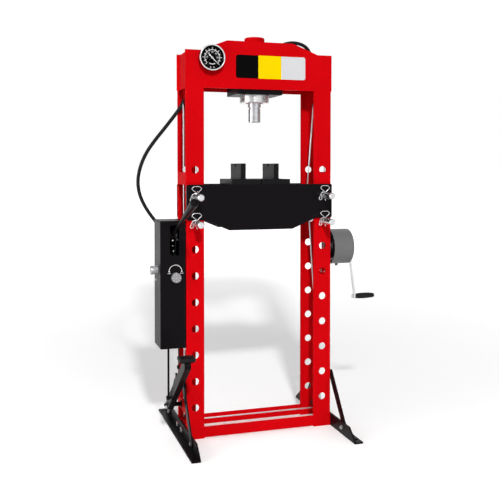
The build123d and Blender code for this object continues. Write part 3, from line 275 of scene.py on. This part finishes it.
def surface(name, group, mask_name, settings, rgb, roughness, spread, unevenness):
    """A material whose colour, roughness and relief vary with one shared effect."""
    material, tree, shader = new_material(name)
    effect = tree.nodes.new("ShaderNodeGroup")
    effect.node_tree = group
    for socket, value in settings.items():
        effect.inputs[socket].default_value = value
    mask = effect.outputs[mask_name]
    ramp = add_node(tree, "ValToRGB")
    stops = ((MASK_LOW, 1 - spread), (MASK_HIGH, 1 + spread))
    for stop, (position, factor) in zip(ramp.color_ramp.elements, stops):
        stop.position = position
        stop.color = shade(rgb, factor)
    span = add_node(tree, "MapRange", {
        "From Min": MASK_LOW, "From Max": MASK_HIGH,
        "To Min": roughness * (1 - unevenness), "To Max": roughness * (1 + unevenness),
    })
    wire(
        tree,
        (mask, ramp.inputs["Fac"]),
        (ramp.outputs["Color"], shader.inputs["Base Color"]),
        (mask, span.inputs["Value"]),
        (span.outputs["Result"], shader.inputs["Roughness"]),
        (effect.outputs["Normal"], shader.inputs["Normal"]),
    )
    return material, shader


def paint(name, rgb, roughness, size=420.0, height=0.08, specular=0.3, spread=0.05):
    """Sprayed paint, rubber or plastic: even colour, soft ripple and a set amount of gloss."""
    material, shader = surface(name, ripple_group, "Cloud", {"Ripple Size": size, "Ripple Height": height},
                               rgb, roughness, spread, 0.1)
    shader.inputs["Specular IOR Level"].default_value = specular
    return material


def metal(name, rgb, roughness, stretch, depth=0.1):
    """Bare or plated steel with fine lines along one direction."""
    material, shader = surface(name, grain_group, "Lines", {"Stretch": stretch, "Depth": depth},
                               rgb, roughness, 0.06, 0.2)
    shader.inputs["Metallic"].default_value = 1.0
    return material


def clear_glass(name):
    """The gauge's window: thin, clear and slightly glossy."""
    material, _, shader = new_material(name)
    shader.inputs["Base Color"].default_value = (1, 1, 1, 1)
    shader.inputs["Roughness"].default_value = 0.03
    shader.inputs["Transmission Weight"].default_value = 1.0
    shader.inputs["IOR"].default_value = 1.1
    return material


# %% [markdown]
# Each paint has a colour, a roughness and, where they differ from the usual, the size
# and height of its ripple and its gloss. Each metal has a colour, a roughness, the
# stretch of its lines and sometimes their depth.

# %% The finishes in use
PAINTS = {
    "red_paint": dict(rgb=(0.62, 0.0022, 0.005), roughness=0.34, specular=0.003),
    "black_paint": dict(rgb=(0.004, 0.003, 0.004), roughness=0.36, specular=0.06),
    "dark_steel": dict(rgb=(0.005, 0.005, 0.006), roughness=0.38, size=260.0, height=0.2, specular=0.09),
    "pump_casting": dict(rgb=(0.02, 0.02, 0.021), roughness=0.5, size=600.0, height=0.35),
    "black_plastic": dict(rgb=(0.008, 0.008, 0.009), roughness=0.34, size=900.0, height=0.1, specular=0.15),
    "dial_black": dict(rgb=(0.002, 0.002, 0.002), roughness=0.6, specular=0.02),
    "needle_white": dict(rgb=(0.85, 0.85, 0.85), roughness=0.5),
    "hose_rubber": dict(rgb=(0.006, 0.006, 0.007), roughness=0.4, size=1500.0, height=0.3, specular=0.15),
    "grip_rubber": dict(rgb=(0.008, 0.008, 0.009), roughness=0.5, size=1200.0, height=0.4, specular=0.15),
    # painted highlight: the winch housing is black, and this grey stands in for the highlight on it
    "winch_enamel": dict(rgb=(0.15, 0.15, 0.152), roughness=0.42, size=300.0, height=0.1, specular=0.35),
}
METALS = {
    "bright_steel": dict(rgb=(0.66, 0.66, 0.67), roughness=0.26, stretch=(300.0, 60.0, 300.0)),
    "ram_chrome": dict(rgb=(0.66, 0.66, 0.68), roughness=0.2, stretch=(30.0, 30.0, 700.0), depth=0.05),
    "knob_steel": dict(rgb=(0.40, 0.40, 0.41), roughness=0.36, stretch=(300.0, 60.0, 300.0)),
    "gauge_chrome": dict(rgb=(0.74, 0.74, 0.76), roughness=0.12, stretch=(60.0, 60.0, 60.0), depth=0.02),
    "rope_steel": dict(rgb=(0.62, 0.62, 0.64), roughness=0.4, stretch=(500.0, 500.0, 900.0), depth=0.5),
}
OWN_FINISHES = {
    # the winch housing takes the grey painted highlight instead of its own black paint
    "winch_housing": "winch_enamel",
    "pedal_shaft": "black_paint",
    "release_knob": "knob_steel",
    "side_knob": "knob_steel",
}
finishes = {name: paint(name, **look) for name, look in PAINTS.items()}
finishes.update({name: metal(name, **look) for name, look in METALS.items()})
finishes["clear_glass"] = clear_glass("clear_glass")
for part in frame["record"]["subparts"]:
    finish = finishes[OWN_FINISHES.get(part["node"], part["material_slot"])]
    for material_slot in nodes[part["node"]].material_slots:
        material_slot.material = finish
print("finishes:", ", ".join(sorted(finishes)))

# %% [markdown]
# ## The falls of the rope
# Each fall runs from a pulley on the frame to a lug on the bed. One end stays at the
# pulley and the other goes with the bed. Here each fall is a plain copy of its rope
# piece as it stands, tied to neither body.


# %% Copies of the rope falls
def stretching_fall(node, pulley_z, lug_z):
    """Stands for a rope node with a plain copy of its mesh and hides the node; the two heights are only
    printed.
    """
    fall = add_to_scene(f"{node}_stretched", nodes[node].data.copy())
    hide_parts(node)
    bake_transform(fall)
    print(node, "stretches over", round(abs(pulley_z - lug_z), 3), "m")


upper_low, upper_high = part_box("rope_falls_upper")
lower_low, lower_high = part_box("rope_fall_lower")
stretching_fall("rope_falls_upper", upper_high[2], upper_low[2])
stretching_fall("rope_fall_lower", lower_low[2], lower_high[2])

# %% [markdown]
# ## Studio
# The press stands on a pale floor that turns white away from its shadow. The floor adds
# a little light of its own for camera and mirror rays only, and more of it farther out,
# so it doesn't brighten the press from below. The backdrop is white to the camera, even
# and dim as a light, and striped with light and dark for mirror rays. A small front
# lamp throws the long shadow behind the press, and two larger lamps, at the left and
# behind, fill the sides.

# %% Floor, world and lamps
FLOOR_SIZE = 400
FLOOR_PLACE = (0.2, 1.0, -0.0005)
GLOW_NEAR, GLOW_FAR = 0.6, 5.5  # distances from the floor's middle
GLOW_LOW, GLOW_HIGH = 0.16, 0.84  # strengths at those distances
WORLD_LEVEL = 0.36
REFLECTION_STOPS = (  # place on the circle around the press, brightness in mirror rays
    (0.05, 1.0), (0.10, 1.0), (0.16, 0.35), (0.22, 0.45), (0.28, 1.0), (0.34, 1.0),
    (0.40, 0.3), (0.50, 0.3), (0.62, 0.9), (0.74, 0.9), (0.84, 0.25), (0.96, 0.3),
)
WHITE = (1, 1, 1, 1)


def white_floor():
    """Pale floor that looks white to the camera and still takes the shadow."""
    material, tree, shader = new_material("studio_floor")
    shader.inputs["Base Color"].default_value = (0.86, 0.86, 0.86, 1)
    shader.inputs["Roughness"].default_value = 0.9
    shader.inputs["Specular IOR Level"].default_value = 0.0
    light_path = add_node(tree, "LightPath")
    seen = add_node(tree, "Math", operation="MAXIMUM")
    glow = add_node(tree, "Emission", {"Color": WHITE})
    place = add_node(tree, "TexCoord")
    reach = add_node(tree, "VectorMath", operation="LENGTH")
    rising = add_node(tree, "MapRange", {
        "From Min": GLOW_NEAR, "From Max": GLOW_FAR, "To Min": GLOW_LOW, "To Max": GLOW_HIGH,
    })
    scaled = add_node(tree, "Math", operation="MULTIPLY")
    total = add_node(tree, "AddShader")
    wire(
        tree,
        (light_path.outputs["Is Camera Ray"], seen.inputs[0]),
        (light_path.outputs["Is Glossy Ray"], seen.inputs[1]),
        (place.outputs["Object"], reach.inputs[0]),
        (reach.outputs["Value"], rising.inputs["Value"]),
        (seen.outputs["Value"], scaled.inputs[0]),
        (rising.outputs["Result"], scaled.inputs[1]),
        (scaled.outputs["Value"], glow.inputs["Strength"]),
        (shader.outputs["BSDF"], total.inputs[0]),
        (glow.outputs["Emission"], total.inputs[1]),
        (total.outputs["Shader"], tree.nodes["Material Output"].inputs["Surface"]),
    )
    return material


def studio_world():
    """White backdrop for the camera, dim even light, and stripes for mirror rays."""
    world = bpy.data.worlds.new("studio_world")
    world.use_nodes = True
    tree = world.node_tree
    backdrop = tree.nodes["Background"]
    backdrop.inputs["Color"].default_value = WHITE
    light_path = add_node(tree, "LightPath")
    direction = add_node(tree, "TexCoord")
    axes = add_node(tree, "SeparateXYZ")
    compass = add_node(tree, "Math", operation="ARCTAN2")
    turn = add_node(tree, "MapRange", {"From Min": -math.pi, "From Max": math.pi})
    stripes = add_node(tree, "ValToRGB")
    for position, level in REFLECTION_STOPS:
        stripes.color_ramp.elements.new(position).color = (level, level, level, 1)
    glossy = add_node(tree, "Mix", {"A": WORLD_LEVEL})
    seen = add_node(tree, "Math", operation="MAXIMUM")
    strength = add_node(tree, "Mix", {"B": 1.0})
    wire(
        tree,
        (direction.outputs["Generated"], axes.inputs["Vector"]),
        (axes.outputs["Y"], compass.inputs[0]),
        (axes.outputs["X"], compass.inputs[1]),
        (compass.outputs["Value"], turn.inputs["Value"]),
        (turn.outputs["Result"], stripes.inputs["Fac"]),
        (light_path.outputs["Is Glossy Ray"], glossy.inputs["Factor"]),
        (stripes.outputs["Color"], glossy.inputs["B"]),
        (light_path.outputs["Is Camera Ray"], seen.inputs[0]),
        (light_path.outputs["Is Transmission Ray"], seen.inputs[1]),
        (seen.outputs["Value"], strength.inputs["Factor"]),
        (glossy.outputs["Result"], strength.inputs["A"]),
        (strength.outputs["Result"], backdrop.inputs["Strength"]),
    )
    return world


def soft_lamp(name, place, target, size, power, even=False):
    """A square area lamp aimed at a point; an even one keeps its strength with distance."""
    data = bpy.data.lights.new(name, "AREA")
    data.shape = "SQUARE"
    data.size = size
    data.energy = power
    if even:
        data.use_nodes = True
        tree = data.node_tree
        fall = add_node(tree, "LightFalloff", {"Strength": 1.0})
        wire(tree, (fall.outputs["Constant"], tree.nodes["Emission"].inputs["Strength"]))
    lamp = add_to_scene(name, data)
    lamp.location = place
    lamp.rotation_euler = (Vector(target) - Vector(place)).to_track_quat("-Z", "Y").to_euler()
    return lamp


bpy.ops.mesh.primitive_plane_add(size=FLOOR_SIZE, location=FLOOR_PLACE)
floor = bpy.context.object
floor.name = "studio_floor"
floor.data.materials.append(white_floor())
bpy.context.scene.world = studio_world()
lamps = [
    soft_lamp("lamp_front", (-0.70, -3.43, 2.81), (0.2, 0, 0.6), 0.25, 6.4, even=True),
    soft_lamp("lamp_left", (-4.4, -0.6, 1.8), (0, 0, 0.8), 2.2, 78),
    soft_lamp("lamp_back", (0.3, 2.2, 3.6), (0, -0.2, 0), 1.4, 18),
]
bpy.context.scene.view_settings.view_transform = "Standard"
print("studio ready:", len(lamps), "lamps")

# %% [markdown]
# ## Hydraulic hose
# A 14 mm hydraulic hose leaves the back of the pump box, swings out to the left, runs up
# behind the left posts and over the head, and comes down to the port of the cylinder.
# It is stiff, so it bends in wide curves. A NURBS curve with the route's points as its
# control points gives that smooth line, and its round bevel is the hose's skin.

# %% Hose
HOSE_DIAMETER = 0.014
HOSE_ROUTE = [
    (-0.352, 0.044, 0.782), (-0.352, 0.072, 0.782), (-0.361, 0.095, 0.798), (-0.384, 0.099, 0.826),
    (-0.413, 0.106, 0.868), (-0.438, 0.106, 0.920), (-0.446, 0.101, 0.974), (-0.438, 0.091, 1.028),
    (-0.417, 0.080, 1.082), (-0.385, 0.066, 1.131), (-0.349, 0.055, 1.177), (-0.315, 0.047, 1.222),
    (-0.282, 0.042, 1.267), (-0.259, 0.041, 1.316), (-0.237, 0.044, 1.362), (-0.192, 0.050, 1.390),
    (-0.135, 0.054, 1.399), (-0.070, 0.055, 1.402), (0.0, 0.056, 1.403), (0.070, 0.055, 1.406),
    (0.132, 0.051, 1.409), (0.188, 0.040, 1.418), (0.230, 0.020, 1.443), (0.240, 0.003, 1.482),
    (0.215, 0.0, 1.514), (0.172, 0.0, 1.526), (0.128, 0.0, 1.520), (0.095, 0.0, 1.505),
]


def make_hose():
    """The hose as one open NURBS curve with a round bevel."""
    curve = bpy.data.curves.new("pressure_hose", "CURVE")
    curve.dimensions = "3D"
    curve.bevel_depth = HOSE_DIAMETER / 2
    curve.bevel_resolution = 5
    curve.resolution_u = 16
    spline = curve.splines.new("NURBS")
    spline.points.add(len(HOSE_ROUTE) - 1)
    for point, place in zip(spline.points, HOSE_ROUTE):
        point.co = (*place, 1)
    spline.order_u = 3
    spline.use_endpoint_u = True
    return finish_piece(add_to_scene("pressure_hose", curve), "frame", "hose_rubber")


hose = make_hose()
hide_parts("hose")

# %% [markdown]
# ## Label panels on the head
# The head carries one long plate in three plain colours. A maker would print it; here
# each colour is its own thin slab, half a millimetre thick, with rounded outer corners,
# and nothing is written on it.

# %% Label panels
HEAD_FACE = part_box("head_front_plate")[0][1]
PANEL_THICKNESS = 0.0005
PANEL_LOW, PANEL_HIGH = 1.368, 1.456
ROUND = 0.008
PANELS = (  # name, left edge, right edge, corner radii, colour
    ("label_black", -0.0985, -0.0089, (ROUND, 0, 0, ROUND), (0.001, 0.001, 0.001)),
    ("label_yellow", -0.0089, 0.0843, (0, 0, 0, 0), (0.93, 0.66, 0.0)),
    ("label_grey", 0.0843, 0.1834, (0, ROUND, ROUND, 0), (0.68, 0.68, 0.70)),
)
for name, left, right, radii, rgb in PANELS:
    outline = plate_outline(left, right, PANEL_LOW, PANEL_HIGH, radii)
    finish_piece(slab(name, outline, HEAD_FACE, PANEL_THICKNESS), "frame", "needle_white",
                 paint(name, rgb, 0.35, height=0.02, specular=0.03, spread=0.02))
print("label panels:", len(PANELS))

# %% [markdown]
# ## Gauge scale
# The dial has a thin ring over three quarters of a turn. Teeth point outward from it and
# short marks point inward, with plain numbers at the main steps. Under the pivot are a
# small curved bar and two dots. All of them are thin shapes just in front of the dial.

# %% Gauge scale
case_low, case_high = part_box("gauge_case")
DIAL_X = (case_low[0] + case_high[0]) / 2
DIAL_Z = (case_low[2] + case_high[2]) / 2
DIAL_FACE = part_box("gauge_dial")[0][1]
SCALE_START, SCALE_SWEEP = 225.0, 270.0  # degrees, and the scale runs clockwise
MAIN_STEPS = 6
RING_INNER, RING_OUTER = 0.0275, 0.0295
LONG_TOOTH, SHORT_TOOTH, TOOTH_HALF = 0.0375, 0.034, 0.0009
MARK_INNER, MARK_HALF = 0.0235, 0.0007
NUMBER_RADIUS, NUMBER_SIZE = 0.0205, 0.0085
SMILE_DROP, SMILE_INNER, SMILE_OUTER = 0.008, 0.0155, 0.0185
DOT_OFFSET, DOT_DROP, DIAL_DOT_RADIUS = 0.0062, 0.0362, 0.0021
MARK_THICKNESS = 0.0003


def white_marks(shapes, face):
    """Thin white shapes, given by name and outline, just in front of a flat face."""
    for name, outline in shapes:
        finish_piece(slab(name, outline, face, MARK_THICKNESS), "frame", "needle_white")


def scale_angle(step, steps):
    """The angle in degrees of one step of the scale."""
    return SCALE_START - SCALE_SWEEP * step / steps


dial_shapes = []
for index in range(MAIN_STEPS):
    start = scale_angle(index, MAIN_STEPS)
    dial_shapes.append((f"dial_ring_{index}", arc_outline(DIAL_X, DIAL_Z, RING_INNER, RING_OUTER, start,
                                                          start - SCALE_SWEEP / MAIN_STEPS, 8)))
for index in range(2 * MAIN_STEPS + 1):
    angle = math.radians(scale_angle(index, 2 * MAIN_STEPS))
    main = index % 2 == 0
    dial_shapes.append((f"dial_tooth_{index}", bar_outline(DIAL_X, DIAL_Z, angle, RING_OUTER,
                                                           LONG_TOOTH if main else SHORT_TOOTH, TOOTH_HALF)))
    if not main:
        dial_shapes.append((f"dial_mark_{index}", bar_outline(DIAL_X, DIAL_Z, angle, MARK_INNER,
                                                              RING_INNER, MARK_HALF)))
dial_shapes.append(("dial_smile", arc_outline(DIAL_X, DIAL_Z - SMILE_DROP, SMILE_INNER, SMILE_OUTER,
                                              232, 308, 10)))
for side, place in ((-1, "left"), (1, "right")):
    dial_shapes.append((f"dial_dot_{place}", ring_outline(DIAL_X + side * DOT_OFFSET, DIAL_Z - DOT_DROP,
                                                          DIAL_DOT_RADIUS, 12)))
white_marks(dial_shapes, DIAL_FACE)

for index in range(1, MAIN_STEPS):
    text = bpy.data.curves.new(f"dial_number_{index}", "FONT")
    text.body = str(index * 10)
    text.size = NUMBER_SIZE
    text.align_x = "CENTER"
    text.align_y = "CENTER"
    text.extrude = 0.0001
    number = add_to_scene(f"dial_number_{index}", text)
    x, z = on_circle(DIAL_X, DIAL_Z, NUMBER_RADIUS, math.radians(scale_angle(index, MAIN_STEPS)))
    number.location = (x, DIAL_FACE - MARK_THICKNESS, z)
    number.rotation_euler = (math.radians(90), 0, 0)
    finish_piece(number, "frame", "needle_white")
print("dial shapes:", len(dial_shapes))

# %% [markdown]
# ## Marks by the release knob
# A white arc with a dot at each end shows which way the release knob turns. Each dot has
# a plain short bar under it. All of them are thin slabs on the front of the pump box.

# %% Marks by the release knob
knob_low, knob_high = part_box("release_knob")
KNOB_X = (knob_low[0] + knob_high[0]) / 2
KNOB_Z = (knob_low[2] + knob_high[2]) / 2
BOX_SIDE, BOX_FRONT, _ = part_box("pump_box_cover")[0]
ARC_Z = KNOB_Z + 0.022
ARC_RADIUS, ARC_HALF = 0.024, 0.0009
DOT_RADIUS = 0.0027
BAR_HALF, BAR_LOW, BAR_HIGH = 0.006, ARC_Z - 0.0083, ARC_Z - 0.0066

marks = [("release_arc", arc_outline(KNOB_X, ARC_Z, ARC_RADIUS - ARC_HALF, ARC_RADIUS + ARC_HALF,
                                     8, 172, 20))]
for side, place in ((-1, "left"), (1, "right")):
    end_x = KNOB_X + side * ARC_RADIUS
    marks.append((f"release_dot_{place}", ring_outline(end_x, ARC_Z, DOT_RADIUS, 16)))
    marks.append((f"release_bar_{place}", plate_outline(end_x - BAR_HALF, end_x + BAR_HALF,
                                                        BAR_LOW, BAR_HIGH)))
white_marks(marks, BOX_FRONT)
print("release marks:", len(marks))

# %% [markdown]
# ## Small parts of the pump box
# The release knob has eight short grooves and a ring on its face. They are drawn as
# near-black strips on the grey knob, as painted shade in those hollows. Inside the
# lever's slot five small bright pin heads stand on the pump block, and the left side
# of the box has a washer, a screw and a spring pin by the side knob.

# %% Small parts of the pump box
KNOB_FACE = knob_low[1]
GROOVES = 8
GROOVE_INNER, GROOVE_OUTER, GROOVE_HALF = 0.005, 0.0155, 0.0008
KNOB_RING_INNER, KNOB_RING_OUTER = 0.0162, 0.0172
GROOVE_THICKNESS = 0.0002
knob_shade_strips = []
for index in range(GROOVES):
    angle = 2 * math.pi * (index + 0.5) / GROOVES
    bar = bar_outline(KNOB_X, KNOB_Z, angle, GROOVE_INNER, GROOVE_OUTER, GROOVE_HALF)
    knob_shade_strips.append(bar[::-1])
knob_shade_strips.append(arc_outline(KNOB_X, KNOB_Z, KNOB_RING_INNER, KNOB_RING_OUTER, 0, 359.9, 40))
# painted shade: near-black strips on the grey knob stand for the shade in its grooves and ring
for index, outline in enumerate(knob_shade_strips):
    finish_piece(slab(f"knob_groove_{index}", outline, KNOB_FACE, GROOVE_THICKNESS), "release_knob",
                 "dark_steel")

BLOCK_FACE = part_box("pump_block")[0][1]
PIN_LENGTH = 0.003
PIN_HEADS = (  # x, z and radius
    (-0.3380, 0.7531, 0.0027), (-0.3203, 0.7560, 0.0030), (-0.3380, 0.7327, 0.0014),
    (-0.3350, 0.7134, 0.0020), (-0.3188, 0.7129, 0.0015),
)
for index, (x, z, radius) in enumerate(PIN_HEADS):
    finish_piece(slab(f"link_pin_{index}", ring_outline(x, z, radius, 12), BLOCK_FACE, PIN_LENGTH),
                 "frame", "bright_steel")

side_low, side_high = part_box("side_knob")
SIDE_Y, SIDE_Z = (side_low[1] + side_high[1]) / 2, (side_low[2] + side_high[2]) / 2
SIDE_PARTS = (  # name, y, z, radius, thickness and finish
    ("side_washer", SIDE_Y, SIDE_Z, 0.0205, 0.0004, "dark_steel"),
    ("side_screw", SIDE_Y + 0.0215, SIDE_Z - 0.0390, 0.0050, 0.0030, "bright_steel"),
    ("side_spring_pin", SIDE_Y + 0.0180, SIDE_Z - 0.0720, 0.0030, 0.0010, "dark_steel"),
)
for name, y, z, radius, thickness, finish in SIDE_PARTS:
    disc = slab(name, ring_outline(y, z, radius, 20), 0.0, thickness)
    for vertex in disc.data.vertices:  # turns the disc from facing the operator to facing left
        vertex.co = (BOX_SIDE + vertex.co.y, vertex.co.x, vertex.co.z)
    disc.data.flip_normals()
    finish_piece(disc, "frame", finish)
print("pump box details:", len(knob_shade_strips) + len(PIN_HEADS) + len(SIDE_PARTS))
